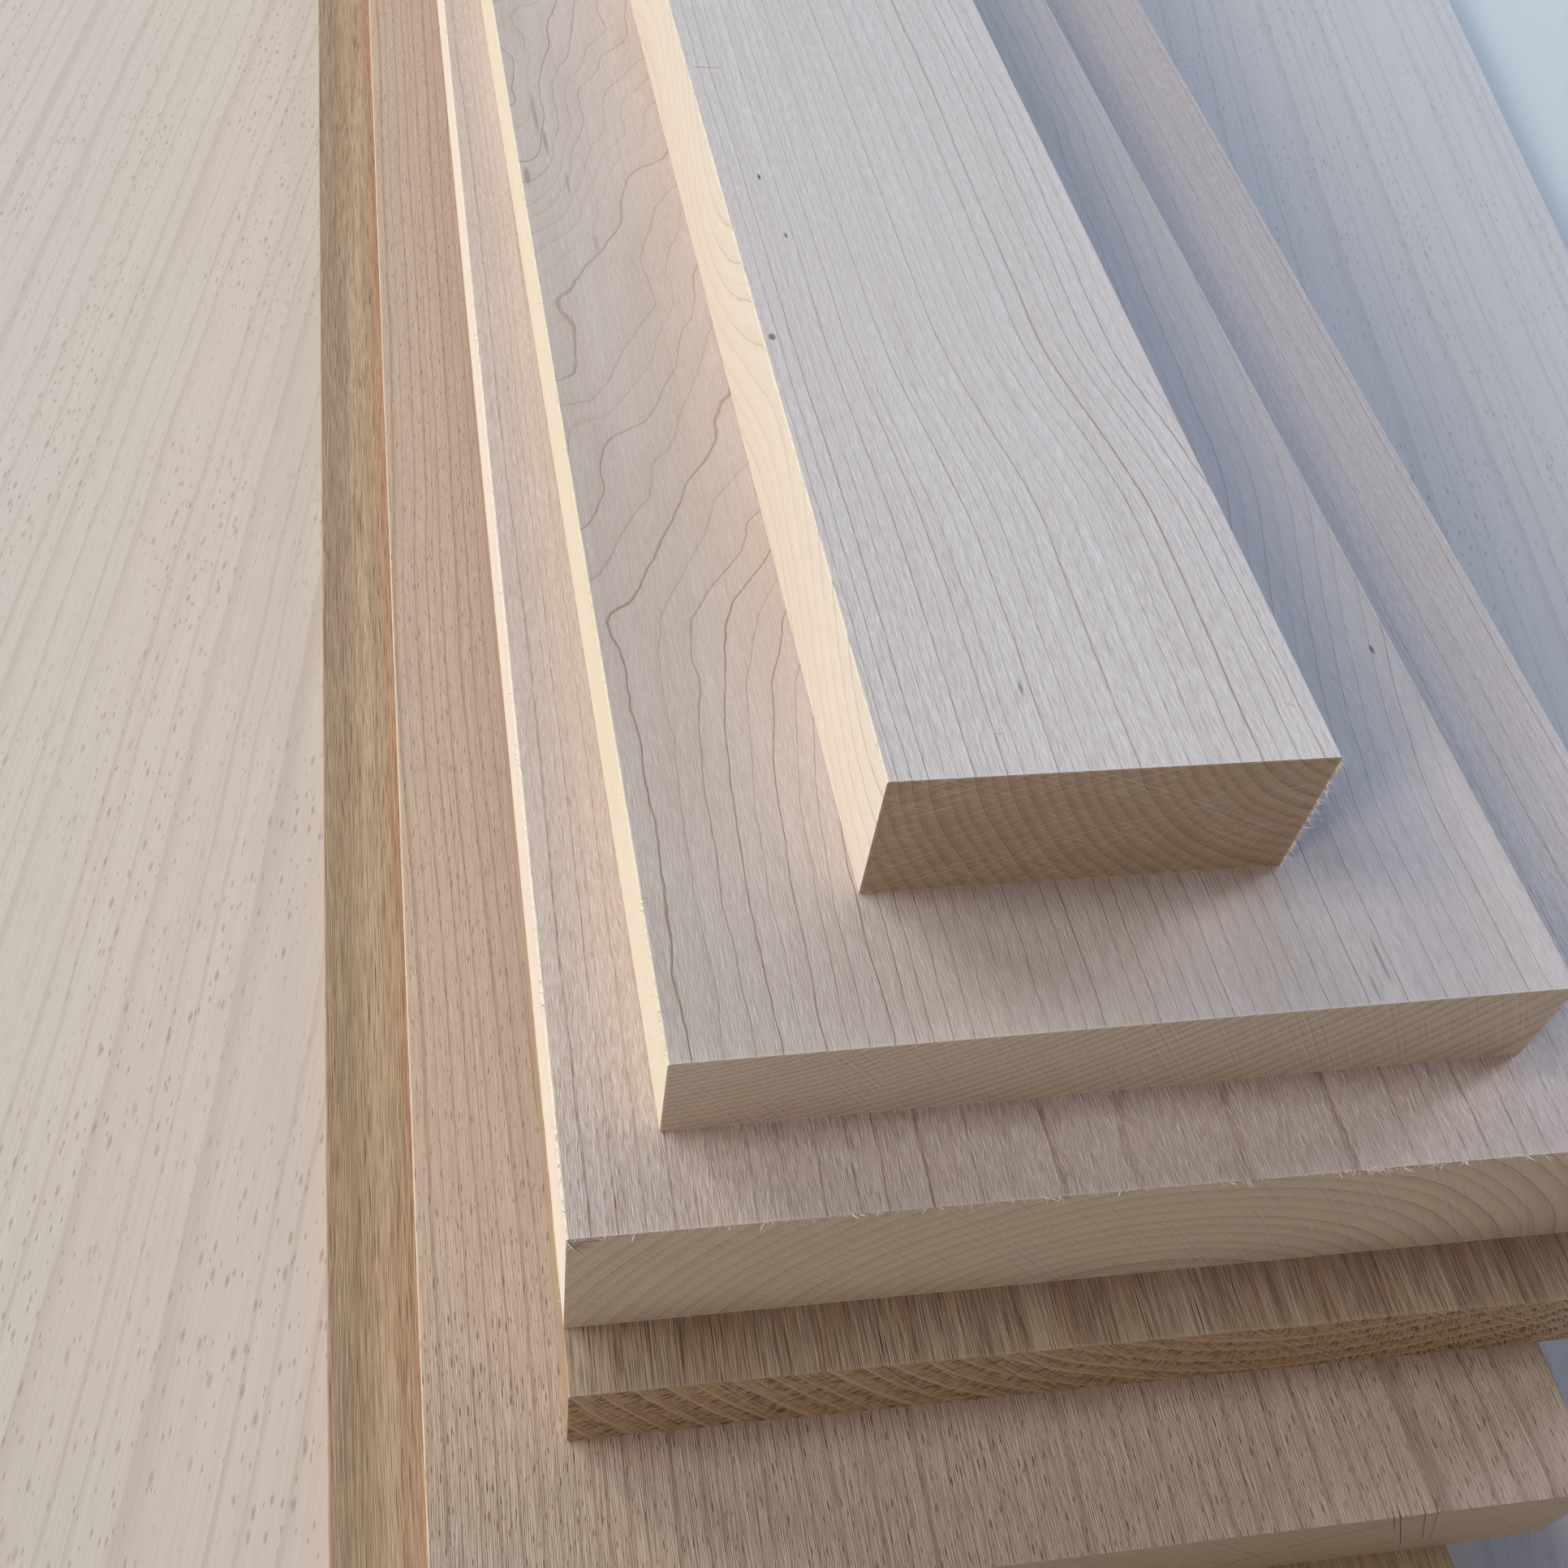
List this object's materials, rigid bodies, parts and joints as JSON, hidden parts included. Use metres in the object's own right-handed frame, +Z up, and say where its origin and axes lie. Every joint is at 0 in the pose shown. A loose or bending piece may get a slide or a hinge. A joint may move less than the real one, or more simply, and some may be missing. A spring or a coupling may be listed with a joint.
{
  "type": "stack of planed hardwood boards",
  "caption": "Stepped stack of planed maple, oak and beech boards lying flat on a turned plywood sheet, each board set back from the front end of the one below.",
  "frame": {"origin": "on the floor, at the middle of the underside of the whole stack's bounding box", "axes": "+Y along the boards, from the stepped front ends to the back; +X to the right seen from the front; +Z up"},
  "size_m": [0.8066, 1.2884, 0.1567],
  "materials": {
    "plywood_sheet": "sanded rotary-cut beech face, bare layered edges",
    "oak_board_lower": "planed, unfinished",
    "beech_board": "planed, unfinished",
    "oak_board_upper": "planed, unfinished",
    "maple_board_low": "roughly planed, fuzzy, unfinished",
    "maple_board_middle": "planed, unfinished",
    "maple_board_top": "planed, unfinished"
  },
  "bodies": {
    "root": {"plywood_sheet": "plywood_sheet", "oak_board_lower": "oak_board_lower", "beech_board": "beech_board", "oak_board_upper": "oak_board_upper", "maple_board_low": "maple_board_low", "maple_board_middle": "maple_board_middle", "maple_board_top": "maple_board_top"}
  },
  "joints": []
}
